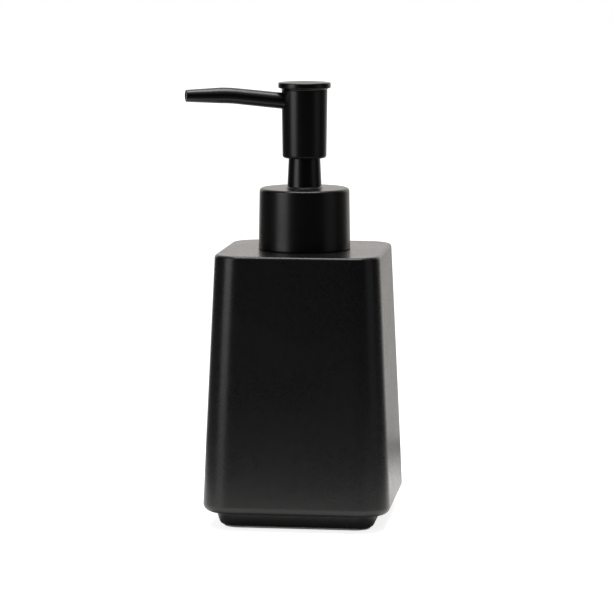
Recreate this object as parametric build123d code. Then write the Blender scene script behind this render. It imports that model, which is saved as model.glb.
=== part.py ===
from build123d import *
import math
import os

# Soap pump dispenser: a square tapered bottle with a screw-on lotion pump.
# Millimetres, +Z up, origin at the centre of the base pad's underside, on the pump's axis.
# The bottle's front faces -Y, and the spout points to -X, turned a little to the front.

# ---- bottle -------------------------------------------------------------------------
BASE_WIDTH = 75.0            # side of the square body at its lower end
SIDE_DRAFT = 4.65            # how far each side leans in over the body's height
BODY_HEIGHT = 102.2
BASE_CORNER_R = 12.4         # upright corners, at the lower and the upper end
TOP_CORNER_R = 11.0
BASE_EDGE_R = 3.0
TOP_EDGE_R = 1.3
WALL = 4.0
TOP_WALL = 4.8
FLOOR = 8.3                  # foot's underside to the chamber's floor
CHAMBER_EDGE_R = 3.0
FOOT_INSET = 5.25            # ledge between the body's side and the foot, at the foot's top
FOOT_DRAFT = 1.7
FOOT_HEIGHT = 5.7
FOOT_CORNER_R = 7.5
FOOT_EDGE_R = 1.2
PAD_INSET = 1.25
PAD_THICKNESS = 0.7

# ---- threaded neck and closure --------------------------------------------------------
COLLAR_HEIGHT = 24.5
COLLAR_OVER_THREAD = 4.7     # collar's lower radius beyond the thread's
COLLAR_DRAFT = 0.4
SHELL_WALL = 0.9
SHELL_DECK = 1.1
SHELL_EDGE_R = 1.2
SHELL_LIP_EDGE_R = 0.25
SHELL_SEAT_GAP = 0.15        # collar's lower edge over the bottle's top
LINER_GAP = 0.05             # liner's skirt inside the shell
LINER_DECK = 1.6
LINER_HOLE_GAP = 0.2         # round the chaplet's neck
LINER_CUP_GAP = 0.4          # round the chaplet's flange
NECK_WALL = 2.4
THREAD_MAJOR_R = 13.7        # 28 mm bottle finish
THREAD_DEPTH = 1.1
THREAD_PITCH = 4.233         # six turns to the inch
THREAD_TURNS = 1.5
THREAD_ROOT_WIDTH = 2.1
THREAD_CREST_WIDTH = 0.9
THREAD_LEAD_IN = 1.85        # neck's top edge to the ridge's upper end
THREAD_CLEARANCE = 0.25      # radial, crest to root
OVERLAP = 0.2                # how far joined or cut shapes run past each other
LOCATING_GAP = 0.1           # radial, spring on its spigots
NECK_FLANGE_LIP = 3.0        # flange beyond the mouth's edge
NECK_FLANGE = 1.2
NECK_PLUG_LENGTH = 6.4
BOND_GAP = 0.05              # adhesive line round the neck's plug
GASKET = 1.0
AXIAL_PLAY = 0.1

# ---- pump -----------------------------------------------------------------------------
STROKE = 11.5
PUMP_BORE_R = 7.0
PUMP_WALL = 1.4
PUMP_BORE_LENGTH = 40.2
PUMP_FLANGE = 1.6
PUMP_FLANGE_INSET = 0.1      # flange's edge inside the neck's edge
GASKET_LIP = 0.4             # gasket's edge beyond the neck's edge
PUMP_FLOOR = 1.6
PUMP_SHOULDER = 1.5          # height of the slope between the bore and the ball chamber
SOCKET_SHOULDER = 1.0
VENT_HOLE_R = 0.6
VENT_DROP = 11.6             # vent below the flange
CHAPLET_FLANGE = 1.0
CHAPLET_NECK_LIP = 1.4       # neck beyond the pump's bore
CHAPLET_FLANGE_LIP = 1.4     # flange beyond the neck
CHAPLET_PLUG = 6.2
CHAPLET_WALL = 1.1
SNAP_BEAD = 0.2
RUNNING_GAP = 0.06           # radial, every sliding or turning fit
FIT_GAP = 0.04               # radial, every pushed-together fit
STEM_R = 3.8
STEM_BORE_R = 2.1
STEM_TOP_GAP = 0.2           # stem's upper end below the spout's channel
STEM_SHOULDER_LIP = 1.1
STEM_SHOULDER = 1.6
PISTON_SLIP = 0.8            # lost motion that opens the outlet valve
PISTON_LENGTH = 8.0
PISTON_HUB_WALL = 1.1
PISTON_CUP = 1.6             # depth of the hollow behind each sealing lip
PISTON_LIP = 0.5             # width of each lip's end
PISTON_LIP_LENGTH = 3.0
PISTON_WAIST = 0.4           # piston's middle inside its lips
PLUG_FLANGE = 1.5
PLUG_FLANGE_LIP = 1.6        # flange beyond the stem
PLUG_SPIGOT = 3.4
PLUG_SHANK = 6.0
PLUG_RIB = 0.9
PORT_HEIGHT = 1.0
PORT_WIDTH = 1.6
WIRE_R = 0.5
SPRING_R = 4.5               # to the wire's centre
SPRING_COILS = 7
BALL_R = 2.5
BALL_LIFT = 1.8
BALL_CHAMBER_R = 3.6
BALL_SEAT_R = 1.7
BALL_CHAMBER_DEPTH = 7.4
BALL_SEAT_GAP = 0.05
CAGE = 1.4
CAGE_STOP_R = 1.1
CAGE_STOP_GAP = 0.1          # below the stop with the ball lifted
CAGE_PORT_R = 0.9
CAGE_PORT_AT = 2.3           # ports' centres from the axis
TUBE_R = 3.2
TUBE_WALL = 1.0
TUBE_SOCKET = 12.0
TUBE_SOCKET_WALL = 1.4
TUBE_SEAT = 2.2              # between the ball's seat and the tube's end
TUBE_FLOOR_GAP = 2.5
TUBE_CUT = 35.0              # slant of the tube's lower end, degrees

# ---- guide sleeve and head --------------------------------------------------------------
SLEEVE_BASE_R = 6.85
SLEEVE_TOP_R = 6.2
SLEEVE_FOOT_FLARE = 0.8
SLEEVE_FLANGE = 0.8
SLEEVE_FLANGE_INSET = 0.4    # flange inside the chaplet's flange
SLEEVE_LIP = 1.0
SLEEVE_EDGE_R = 0.5
SLEEVE_FLARE_GAP = 0.1       # flare above the collar
SLEEVE_OVERLAP = 3.0         # how far the sleeve reaches into the barrel at rest
HOLE_GAP = 0.12              # collar's hole round the sleeve's foot
PRESSED_GAP = 0.45           # barrel above the collar when the head is down
BARREL_BASE_R = 8.8
BARREL_TOP_R = 9.15
BARREL_LENGTH = 27.15
BARREL_EDGE_R = 1.1
BARREL_BORE_GAP = 0.4        # round the sleeve's widest part
CORE_CLEARANCE = 0.45        # core above the sleeve when the head is down
CORE_BODY = 7.4
CORE_BOSS_R = 5.4
CAP_HEIGHT = 3.0
CAP_R = 10.5
CAP_RIM = 2.3
CAP_DISH = 0.9
CAP_LIP = 0.75
CAP_EDGE_R = 0.5
CAP_SPIGOT = 0.6
SPOUT_HEADING = 20.0         # degrees from -X towards the front
SPOUT_RISE = 6.4             # slope of the first run, degrees
SPOUT_REACH = 48.1           # from the pump's axis to the tip
SPOUT_BEND_AT = 30.6
SPOUT_BEND_R = 60.0
SPOUT_DROP = 5.25            # spout's axis at the pump's axis, below the barrel's top
SPOUT_ROOT_R = 3.25
SPOUT_BEND_TUBE_R = 3.15
SPOUT_TIP_R = 2.4
SPOUT_WALL = 1.15
SPOUT_TIP_EDGE_R = 0.35
SPOUT_SEAT_WALL = 0.4        # between the stem and the spout's inner end
SPOUT_CHANNEL_R = 1.8

ARC_MID = 1 - math.sqrt(0.5)  # middle of a quarter arc, as a share of its radius

# ---- heights that follow from the sizes above ---------------------------------------------
foot_z = PAD_THICKNESS
body_z = foot_z + FOOT_HEIGHT
top_z = body_z + BODY_HEIGHT
chamber_floor_z = foot_z + FLOOR
chamber_top_z = top_z - TOP_WALL
shell_top_z = top_z + COLLAR_HEIGHT
shell_deck_z = shell_top_z - SHELL_DECK
sleeve_flange_z = shell_deck_z - AXIAL_PLAY - SLEEVE_FLANGE
chaplet_flange_z = sleeve_flange_z - CHAPLET_FLANGE
liner_deck_z = chaplet_flange_z - AXIAL_PLAY - LINER_DECK
pump_top_z = liner_deck_z - AXIAL_PLAY
neck_top_z = pump_top_z - PUMP_FLANGE - GASKET
neck_thread_z = neck_top_z - THREAD_LEAD_IN - THREAD_TURNS * THREAD_PITCH
chaplet_bottom_z = pump_top_z - CHAPLET_PLUG
pump_floor_z = pump_top_z - PUMP_BORE_LENGTH
barrel_z = shell_top_z + STROKE + PRESSED_GAP
barrel_top_z = barrel_z + BARREL_LENGTH
sleeve_top_z = barrel_z + SLEEVE_OVERLAP
core_boss_z = sleeve_top_z + STROKE + CORE_CLEARANCE
core_top_z = barrel_top_z - CAP_SPIGOT
core_body_z = core_top_z - CORE_BODY
spout_z = barrel_top_z - SPOUT_DROP

# ---- sizes that follow from a fit ---------------------------------------------------------
neck_core_r = THREAD_MAJOR_R - THREAD_DEPTH
liner_bore_r = THREAD_MAJOR_R + THREAD_CLEARANCE
neck_bore_r = neck_core_r - NECK_WALL
neck_flange_r = neck_core_r + NECK_FLANGE_LIP
collar_base_r = THREAD_MAJOR_R + COLLAR_OVER_THREAD
gasket_r = neck_core_r + GASKET_LIP
pump_flange_r = neck_core_r - PUMP_FLANGE_INSET
chaplet_neck_r = PUMP_BORE_R + CHAPLET_NECK_LIP
chaplet_flange_r = chaplet_neck_r + CHAPLET_FLANGE_LIP
stem_guide_r = STEM_R + RUNNING_GAP
chaplet_tower_r = stem_guide_r + CHAPLET_WALL
sleeve_bore_r = chaplet_tower_r + FIT_GAP
sleeve_flange_r = chaplet_flange_r - SLEEVE_FLANGE_INSET
sleeve_foot_r = SLEEVE_BASE_R + SLEEVE_FOOT_FLARE
barrel_bore_r = SLEEVE_BASE_R + BARREL_BORE_GAP
stem_shoulder_z = chaplet_bottom_z - AXIAL_PLAY - STEM_SHOULDER
piston_z = stem_shoulder_z - PISTON_SLIP - AXIAL_PLAY - PISTON_LENGTH
spring_top_z = piston_z - PLUG_FLANGE
spring_bottom_z = pump_floor_z + CAGE
spring_spigot_r = SPRING_R - WIRE_R - LOCATING_GAP
bend_half = SPOUT_BEND_R * math.tan(math.radians(SPOUT_RISE / 2))
bend_start = SPOUT_BEND_AT - bend_half * math.cos(math.radians(SPOUT_RISE))
bend_end = SPOUT_BEND_AT + bend_half
spout_seat = STEM_R + SPOUT_SEAT_WALL
stem_top_z = spout_z - SPOUT_CHANNEL_R - STEM_TOP_GAP
ball_seat_z = pump_floor_z - BALL_CHAMBER_DEPTH - (BALL_CHAMBER_R - BALL_SEAT_R)
tube_top_z = ball_seat_z - TUBE_SEAT
tube_bottom_z = chamber_floor_z + TUBE_FLOOR_GAP
ball_z = ball_seat_z + 2 * BALL_R * math.cos(math.radians(45)) - BALL_SEAT_R + BALL_SEAT_GAP


def tube(outer_r, inner_r, z0, z1):
    """A plain ring or tube between two heights."""
    solid = Pos(0, 0, z0) * extrude(Circle(outer_r), z1 - z0)
    if inner_r > 0:
        solid -= Pos(0, 0, z0) * extrude(Circle(inner_r), z1 - z0)
    return solid


def turned(points):
    """A solid of revolution from (radius, height) points."""
    return revolve(make_face(Polyline([(r, 0, z) for r, z in points], close=True)), Axis.Z)


def square_block(w0, r0, z0, w1, r1, z1):
    """A tapered block with rounded upright corners."""
    lower = Pos(0, 0, z0) * RectangleRounded(w0, w0, r0)
    upper = Pos(0, 0, z1) * RectangleRounded(w1, w1, r1)
    return loft([lower, upper], ruled=True)


def edges_at(solid, z, radius=None):
    """Edges that lie flat at a height, or only the circles of one radius there."""
    flat = solid.edges().filter_by_position(Axis.Z, z - 0.01, z + 0.01)
    if radius is None:
        return flat
    return flat.filter_by(GeomType.CIRCLE).filter_by(lambda e: abs(e.radius - radius) < 0.02)


def thread_ridge(root_r, crest_r, z0, turns):
    """A helical ridge of trapezoid section; crest_r may lie outside or inside root_r."""
    root = root_r - OVERLAP if crest_r > root_r else root_r + OVERLAP
    path = Helix(THREAD_PITCH, turns * THREAD_PITCH, root_r, center=(0, 0, z0))
    half_root, half_crest = THREAD_ROOT_WIDTH / 2, THREAD_CREST_WIDTH / 2
    profile = Polyline(
        [(root, 0, z0 - half_root), (crest_r, 0, z0 - half_crest),
         (crest_r, 0, z0 + half_crest), (root, 0, z0 + half_root)], close=True)
    return sweep(make_face(profile), path=path, is_frenet=True)


# ---- pieces of the bottle -------------------------------------------------------------------
def bottle():
    top_width = BASE_WIDTH - 2 * SIDE_DRAFT
    body = square_block(BASE_WIDTH, BASE_CORNER_R, body_z, top_width, TOP_CORNER_R, top_z)
    body = fillet(edges_at(body, top_z), TOP_EDGE_R)
    body = fillet(edges_at(body, body_z), BASE_EDGE_R)
    foot_width = BASE_WIDTH - 2 * FOOT_INSET
    foot = square_block(foot_width - 2 * FOOT_DRAFT, FOOT_CORNER_R - FOOT_DRAFT / 2, foot_z,
                        foot_width, FOOT_CORNER_R, body_z)
    foot = fillet(edges_at(foot, foot_z), FOOT_EDGE_R)
    lean = 2 * SIDE_DRAFT / BODY_HEIGHT
    floor_width = BASE_WIDTH - 2 * WALL - lean * (chamber_floor_z - body_z)
    ceiling_width = BASE_WIDTH - 2 * WALL - lean * (chamber_top_z - body_z)
    chamber = square_block(floor_width, BASE_CORNER_R - WALL, chamber_floor_z,
                           ceiling_width, TOP_CORNER_R - WALL, chamber_top_z)
    chamber = fillet(edges_at(chamber, chamber_floor_z), CHAMBER_EDGE_R)
    chamber = fillet(edges_at(chamber, chamber_top_z), CHAMBER_EDGE_R)
    mouth = tube(neck_core_r + BOND_GAP, 0, chamber_top_z - 1, top_z + 1)
    return body + foot - chamber - mouth


def base_pad():
    foot_width = BASE_WIDTH - 2 * (FOOT_INSET + FOOT_DRAFT)
    side = foot_width - 2 * PAD_INSET
    return extrude(RectangleRounded(side, side, FOOT_CORNER_R - PAD_INSET), PAD_THICKNESS)


def neck_insert():
    solid = tube(neck_core_r, 0, top_z - NECK_PLUG_LENGTH, neck_top_z)
    solid += tube(neck_flange_r, 0, top_z, top_z + NECK_FLANGE)
    solid += thread_ridge(neck_core_r, THREAD_MAJOR_R, neck_thread_z, THREAD_TURNS)
    return solid - tube(neck_bore_r, 0, top_z - NECK_PLUG_LENGTH - 1, neck_top_z + 1)


# ---- closure ----------------------------------------------------------------------------------
def shell_r(z, inset=0.0):
    """Radius of the collar's drafted side at a height."""
    return collar_base_r - COLLAR_DRAFT * (z - top_z) / COLLAR_HEIGHT - inset


def collar_shell():
    z0 = top_z + SHELL_SEAT_GAP
    hole_r = sleeve_foot_r + HOLE_GAP
    solid = turned([(hole_r, shell_deck_z), (shell_r(shell_deck_z, SHELL_WALL), shell_deck_z),
                    (shell_r(z0, SHELL_WALL), z0), (shell_r(z0), z0),
                    (shell_r(shell_top_z), shell_top_z), (hole_r, shell_top_z)])
    solid = fillet(edges_at(solid, shell_top_z, shell_r(shell_top_z)), SHELL_EDGE_R)
    return fillet(edges_at(solid, z0, shell_r(z0)), SHELL_LIP_EDGE_R)


def collar_liner():
    skirt = SHELL_WALL + LINER_GAP
    z0 = top_z + NECK_FLANGE + 2 * AXIAL_PLAY
    hole_r = chaplet_neck_r + LINER_HOLE_GAP
    cup_r = chaplet_flange_r + LINER_CUP_GAP
    deck_top = liner_deck_z + LINER_DECK
    solid = turned([(liner_bore_r, z0), (shell_r(z0, skirt), z0),
                    (shell_r(shell_deck_z, skirt), shell_deck_z), (cup_r, shell_deck_z),
                    (cup_r, deck_top), (hole_r, deck_top), (hole_r, liner_deck_z),
                    (liner_bore_r, liner_deck_z)])
    # The ridge runs in the middle of the neck's groove, half a pitch from its ridge.
    ridge = thread_ridge(liner_bore_r, neck_core_r + THREAD_CLEARANCE,
                         neck_thread_z - THREAD_PITCH / 2, THREAD_TURNS)
    return solid + ridge


def gasket():
    return tube(gasket_r, neck_bore_r, neck_top_z, neck_top_z + GASKET)


# ---- pump ---------------------------------------------------------------------------------------
def pump_housing():
    body_r = PUMP_BORE_R + PUMP_WALL
    chamber_r = BALL_CHAMBER_R + PUMP_WALL
    socket_r = TUBE_R + FIT_GAP + TUBE_SOCKET_WALL
    chamber_z = pump_floor_z - PUMP_FLOOR
    socket_z = tube_top_z - TUBE_SOCKET
    solid = turned([
        (0, pump_top_z), (pump_flange_r, pump_top_z), (pump_flange_r, pump_top_z - PUMP_FLANGE),
        (body_r, pump_top_z - PUMP_FLANGE), (body_r, chamber_z), (chamber_r, chamber_z - PUMP_SHOULDER),
        (chamber_r, ball_seat_z), (socket_r, ball_seat_z - SOCKET_SHOULDER), (socket_r, socket_z), (0, socket_z)])
    groove_z = chaplet_bottom_z + CHAPLET_PLUG / 2
    bead_r = PUMP_BORE_R + SNAP_BEAD
    hollow = turned([
        (0, pump_top_z + 1), (PUMP_BORE_R, pump_top_z + 1), (PUMP_BORE_R, groove_z + 2 * SNAP_BEAD),
        (bead_r, groove_z + SNAP_BEAD), (bead_r, groove_z - SNAP_BEAD),
        (PUMP_BORE_R, groove_z - 2 * SNAP_BEAD), (PUMP_BORE_R, pump_floor_z),
        (BALL_CHAMBER_R, pump_floor_z), (BALL_CHAMBER_R, pump_floor_z - BALL_CHAMBER_DEPTH),
        (BALL_SEAT_R, ball_seat_z), (BALL_SEAT_R, tube_top_z), (TUBE_R + FIT_GAP, tube_top_z),
        (TUBE_R + FIT_GAP, socket_z - 1), (0, socket_z - 1)])
    vent = Pos(0, 0, pump_top_z - VENT_DROP) * Rot(90, 0, 0) * extrude(Circle(VENT_HOLE_R), 2 * body_r)
    return solid - hollow - vent


def chaplet():
    plug_r = PUMP_BORE_R - FIT_GAP
    bead_r = plug_r + SNAP_BEAD
    bead_z = chaplet_bottom_z + CHAPLET_PLUG / 2
    tower_top = sleeve_top_z - SLEEVE_LIP
    return turned([
        (stem_guide_r, chaplet_bottom_z), (plug_r, chaplet_bottom_z), (plug_r, bead_z - 2 * SNAP_BEAD),
        (bead_r, bead_z - SNAP_BEAD), (bead_r, bead_z + SNAP_BEAD), (plug_r, bead_z + 2 * SNAP_BEAD),
        (plug_r, pump_top_z), (chaplet_neck_r, pump_top_z), (chaplet_neck_r, chaplet_flange_z),
        (chaplet_flange_r, chaplet_flange_z), (chaplet_flange_r, sleeve_flange_z),
        (chaplet_tower_r, sleeve_flange_z), (chaplet_tower_r, tower_top), (stem_guide_r, tower_top)])


def guide_sleeve():
    flange_top = sleeve_flange_z + SLEEVE_FLANGE
    flare_z = shell_top_z + SLEEVE_FLARE_GAP
    lip_z = sleeve_top_z - SLEEVE_LIP
    profile = [
        Polyline([(SLEEVE_BASE_R, 0, flare_z + SLEEVE_FOOT_FLARE), (SLEEVE_TOP_R, 0, sleeve_top_z),
                  (stem_guide_r, 0, sleeve_top_z), (stem_guide_r, 0, lip_z), (sleeve_bore_r, 0, lip_z),
                  (sleeve_bore_r, 0, sleeve_flange_z), (sleeve_flange_r, 0, sleeve_flange_z),
                  (sleeve_flange_r, 0, flange_top), (sleeve_foot_r, 0, flange_top),
                  (sleeve_foot_r, 0, flare_z)]),
        ThreePointArc((sleeve_foot_r, 0, flare_z),
                      (SLEEVE_BASE_R + ARC_MID * SLEEVE_FOOT_FLARE, 0,
                       flare_z + ARC_MID * SLEEVE_FOOT_FLARE),
                      (SLEEVE_BASE_R, 0, flare_z + SLEEVE_FOOT_FLARE))]
    solid = revolve(make_face(profile), Axis.Z)
    return fillet(edges_at(solid, sleeve_top_z, SLEEVE_TOP_R), SLEEVE_EDGE_R)


def ball_cage():
    solid = tube(PUMP_BORE_R - FIT_GAP, 0, pump_floor_z, pump_floor_z + CAGE)
    solid += tube(spring_spigot_r, 0, pump_floor_z + CAGE, pump_floor_z + 2 * CAGE)
    stop_z = ball_z + BALL_R + BALL_LIFT + CAGE_STOP_GAP
    solid += tube(CAGE_STOP_R, 0, stop_z, pump_floor_z)
    for angle in range(0, 360, 90):
        solid -= Rot(0, 0, angle) * Pos(CAGE_PORT_AT, 0, pump_floor_z - 1) * extrude(
            Circle(CAGE_PORT_R), 4 * CAGE)
    return solid


def inlet_ball():
    return Pos(0, 0, ball_z) * Sphere(BALL_R)


def dip_tube():
    solid = tube(TUBE_R, TUBE_R - TUBE_WALL, tube_bottom_z, tube_top_z)
    cutter = Pos(TUBE_R, 0, tube_bottom_z) * Rot(0, -TUBE_CUT, 0) * Pos(0, 0, -10) * Box(40, 20, 20)
    return solid - Pos(-2 * TUBE_R, 0, 0) * cutter


def return_spring():
    height = spring_top_z - spring_bottom_z - 2 * WIRE_R
    path = Helix(height / SPRING_COILS, height, SPRING_R, center=(0, 0, spring_bottom_z + WIRE_R))
    section = Plane(origin=path @ 0, z_dir=path % 0) * Circle(WIRE_R)
    return sweep(section, path=path, is_frenet=True)


def stem():
    solid = tube(STEM_R, STEM_BORE_R, piston_z, stem_top_z)
    shoulder_top = stem_shoulder_z + STEM_SHOULDER
    solid += tube(STEM_R + STEM_SHOULDER_LIP, STEM_R - OVERLAP, stem_shoulder_z, shoulder_top)
    for angle in (0, 90):
        solid -= Rot(0, 0, angle) * Pos(0, 0, piston_z) * Box(
            4 * STEM_R, PORT_WIDTH, PORT_HEIGHT, align=(Align.CENTER, Align.CENTER, Align.MIN))
    return solid


def stem_plug():
    solid = tube(STEM_R + PLUG_FLANGE_LIP, 0, piston_z - PLUG_FLANGE, piston_z)
    solid += tube(spring_spigot_r, 0, spring_top_z - PLUG_SPIGOT, spring_top_z)
    shank = tube(STEM_BORE_R - FIT_GAP, 0, piston_z, piston_z + PLUG_SHANK)
    for angle in (45, 135):
        rib = Box(2 * STEM_BORE_R, PLUG_RIB, PLUG_SHANK, align=(Align.CENTER, Align.CENTER, Align.MIN))
        solid += shank & (Rot(0, 0, angle) * Pos(0, 0, piston_z) * rib)
    return solid


def piston():
    lip_r = PUMP_BORE_R - RUNNING_GAP
    waist_r = lip_r - PISTON_WAIST
    hub_r = stem_guide_r + PISTON_HUB_WALL
    top = piston_z + PISTON_LENGTH
    return turned([
        (stem_guide_r, piston_z), (hub_r, piston_z), (hub_r, piston_z + PISTON_CUP),
        (lip_r - PISTON_LIP, piston_z), (lip_r, piston_z), (waist_r, piston_z + PISTON_LIP_LENGTH),
        (waist_r, top - PISTON_LIP_LENGTH), (lip_r, top), (lip_r - PISTON_LIP, top),
        (hub_r, top - PISTON_CUP), (hub_r, top), (stem_guide_r, top)])


# ---- head -----------------------------------------------------------------------------------------
def head_barrel():
    solid = turned([(barrel_bore_r, barrel_z), (BARREL_BASE_R, barrel_z), (BARREL_TOP_R, barrel_top_z),
                    (barrel_bore_r, barrel_top_z)])
    solid = fillet(edges_at(solid, barrel_z, BARREL_BASE_R), BARREL_EDGE_R)
    return solid - spout_rod(SPOUT_ROOT_R + FIT_GAP, spout_seat, 2 * BARREL_TOP_R)


def head_core():
    core_r = barrel_bore_r - FIT_GAP
    solid = tube(core_r, 0, core_body_z, core_top_z)
    solid += tube(CORE_BOSS_R, 0, core_boss_z, core_body_z)
    solid -= tube(STEM_R + RUNNING_GAP, 0, core_boss_z - 1, stem_top_z)
    solid -= tube(STEM_BORE_R, 0, stem_top_z - 1, spout_z)
    solid -= spout_rod(SPOUT_CHANNEL_R, 0, 2 * core_r)
    return solid - spout_rod(SPOUT_ROOT_R + FIT_GAP, spout_seat, 2 * core_r)


def head_cap():
    under_z = barrel_top_z + CAP_HEIGHT - CAP_RIM
    top = barrel_top_z + CAP_HEIGHT
    dish_r = CAP_R - CAP_LIP
    neck = CAP_HEIGHT - CAP_RIM
    spigot_r = barrel_bore_r - FIT_GAP
    lower = Polyline([(0, 0, top - CAP_DISH), (0, 0, core_top_z), (spigot_r, 0, core_top_z),
                      (spigot_r, 0, barrel_top_z), (BARREL_TOP_R, 0, barrel_top_z)])
    hollow = ThreePointArc((BARREL_TOP_R, 0, barrel_top_z),
                           (BARREL_TOP_R + ARC_MID * neck, 0, under_z - ARC_MID * neck),
                           (BARREL_TOP_R + neck, 0, under_z))
    rim = Polyline([(BARREL_TOP_R + neck, 0, under_z), (CAP_R, 0, under_z), (CAP_R, 0, top),
                    (dish_r, 0, top)])
    sphere_r = (dish_r ** 2 + CAP_DISH ** 2) / (2 * CAP_DISH)
    mid_z = top - CAP_DISH + sphere_r - math.sqrt(sphere_r ** 2 - dish_r ** 2 / 4)
    dish = ThreePointArc((dish_r, 0, top), (dish_r / 2, 0, mid_z), (0, 0, top - CAP_DISH))
    solid = revolve(make_face([lower, hollow, rim, dish]), Axis.Z)
    return fillet(edges_at(solid, top, CAP_R) + edges_at(solid, under_z, CAP_R), CAP_EDGE_R)


def spout_plane(reach):
    """Section plane across the spout at a distance from the pump's axis."""
    slope = math.radians(SPOUT_RISE)
    level_z = spout_z + SPOUT_BEND_AT * math.tan(slope)
    if reach <= bend_start:
        z = spout_z + reach * math.tan(slope)
    elif reach < bend_end:
        slope = math.asin((bend_end - reach) / SPOUT_BEND_R)
        z = level_z - SPOUT_BEND_R * (1 - math.cos(slope))
    else:
        slope, z = 0.0, level_z
    heading = math.radians(180 + SPOUT_HEADING)
    along = Vector(math.cos(heading), math.sin(heading), 0)
    return Plane(origin=along * reach + Vector(0, 0, z),
                 x_dir=Vector(-math.sin(heading), math.cos(heading), 0),
                 z_dir=along * math.cos(slope) + Vector(0, 0, math.sin(slope)))


def spout_rod(radius, start, end):
    """A straight rod on the spout's first run, for the holes that it passes."""
    length = (end - start) / math.cos(math.radians(SPOUT_RISE))
    return extrude(spout_plane(start) * Circle(radius), length)


def spout_run(start, end, start_r, end_r):
    """A straight tapered run between two distances from the pump's axis."""
    first, last = spout_plane(start), spout_plane(end)
    length = (last.origin - first.origin).length
    return first.location * Cone(start_r, end_r, length, align=(Align.CENTER, Align.CENTER, Align.MIN))


def spout_line(inset, start, end):
    """Two tapered runs and the bend between them, drawn in from the tube's outer side."""
    root_r, bend_r, tip_r = SPOUT_ROOT_R - inset, SPOUT_BEND_TUBE_R - inset, SPOUT_TIP_R - inset
    first, last = spout_plane(bend_start), spout_plane(bend_end)
    arc = ThreePointArc(first.origin, spout_plane((bend_start + bend_end) / 2).origin, last.origin)
    solid = spout_run(start, bend_start, root_r, bend_r)
    solid += sweep(first * Circle(bend_r), path=arc)
    return solid + spout_run(bend_end, end, bend_r, tip_r)


def spout():
    outer = spout_line(0, spout_seat, SPOUT_REACH)
    tip = outer.faces().sort_by_distance(spout_plane(SPOUT_REACH).origin)[0]
    outer = fillet(tip.edges(), SPOUT_TIP_EDGE_R)
    return outer - spout_line(SPOUT_WALL, spout_seat - OVERLAP, SPOUT_REACH + OVERLAP)


PIECES = {
    "bottle": bottle, "base_pad": base_pad, "neck_insert": neck_insert,
    "collar_shell": collar_shell, "collar_liner": collar_liner, "gasket": gasket,
    "pump_housing": pump_housing, "chaplet": chaplet, "guide_sleeve": guide_sleeve,
    "ball_cage": ball_cage, "inlet_ball": inlet_ball, "dip_tube": dip_tube,
    "return_spring": return_spring, "stem": stem, "stem_plug": stem_plug, "piston": piston,
    "head_barrel": head_barrel, "head_core": head_core, "head_cap": head_cap,
    "spout": spout,
}

os.makedirs("parts", exist_ok=True)
for name, make in PIECES.items():
    export_step(make(), f"parts/{name}.step")
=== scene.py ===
import math

import bmesh
import bpy
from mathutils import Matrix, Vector


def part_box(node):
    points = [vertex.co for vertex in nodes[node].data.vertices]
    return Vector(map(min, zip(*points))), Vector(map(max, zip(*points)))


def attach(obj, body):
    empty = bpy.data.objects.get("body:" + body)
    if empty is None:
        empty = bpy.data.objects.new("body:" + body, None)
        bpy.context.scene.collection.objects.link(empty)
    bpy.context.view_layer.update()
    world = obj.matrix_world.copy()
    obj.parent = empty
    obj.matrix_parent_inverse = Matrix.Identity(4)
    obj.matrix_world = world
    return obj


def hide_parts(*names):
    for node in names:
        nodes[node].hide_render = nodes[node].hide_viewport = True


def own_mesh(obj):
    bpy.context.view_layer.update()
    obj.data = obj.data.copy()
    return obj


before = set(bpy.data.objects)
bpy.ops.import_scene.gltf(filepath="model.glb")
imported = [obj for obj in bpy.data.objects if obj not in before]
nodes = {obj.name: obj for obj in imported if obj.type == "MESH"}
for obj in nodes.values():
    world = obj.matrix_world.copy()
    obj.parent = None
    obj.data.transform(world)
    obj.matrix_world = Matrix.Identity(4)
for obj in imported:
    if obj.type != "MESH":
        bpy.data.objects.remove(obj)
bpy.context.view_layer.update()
MM = 0.001

# ======================================================================================
# Studio. A plain pale floor without an end, a bright sheet behind the object, a dark room
# on the viewer's side, soft boxes left and right and a wide one overhead.
# ======================================================================================
CAMERA_AZIMUTH = 7.27
CAMERA_ELEVATION = 7.28
CAMERA_DISTANCE = 1.128
CAMERA_PIVOT_Z = 0.090
CAMERA_AIM_Z = 0.0853
CAMERA_AIM_RIGHT = 0.0006
CAMERA_LENS = 164.94
CAMERA_SENSOR = 36.0
FLOOR_SIZE = 12.0


def soft_box(name, place, aim, width, height, power):
    """A rectangular soft light that looks at a point."""
    lamp = bpy.data.lights.new(name, "AREA")
    lamp.shape = "RECTANGLE"
    lamp.size, lamp.size_y = width, height
    lamp.energy = power
    box = bpy.data.objects.new(name, lamp)
    box.location = place
    box.rotation_mode = "QUATERNION"
    box.rotation_quaternion = (Vector(aim) - Vector(place)).to_track_quat("-Z", "Y")
    box.visible_camera = False
    bpy.context.scene.collection.objects.link(box)


def studio():
    scene = bpy.context.scene
    scene.view_settings.view_transform = "Standard"
    azimuth, elevation = math.radians(CAMERA_AZIMUTH), math.radians(CAMERA_ELEVATION)
    back = Vector((math.sin(azimuth) * math.cos(elevation),
                   -math.cos(azimuth) * math.cos(elevation), math.sin(elevation)))
    lens = bpy.data.cameras.new("camera")
    lens.lens = CAMERA_LENS
    lens.sensor_width = CAMERA_SENSOR
    camera = bpy.data.objects.new("camera", lens)
    camera.location = back * CAMERA_DISTANCE + Vector((0, 0, CAMERA_PIVOT_Z))
    right = Vector((math.cos(azimuth), math.sin(azimuth), 0))
    aim = Vector((0, 0, CAMERA_AIM_Z)) + right * CAMERA_AIM_RIGHT
    camera.rotation_mode = "QUATERNION"
    camera.rotation_quaternion = (aim - camera.location).to_track_quat("-Z", "Y")
    scene.collection.objects.link(camera)
    scene.camera = camera


studio()

world = bpy.data.worlds.new("studio")
bpy.context.scene.world = world
world.use_nodes = True
sky = world.node_tree
sky.nodes.clear()


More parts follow.
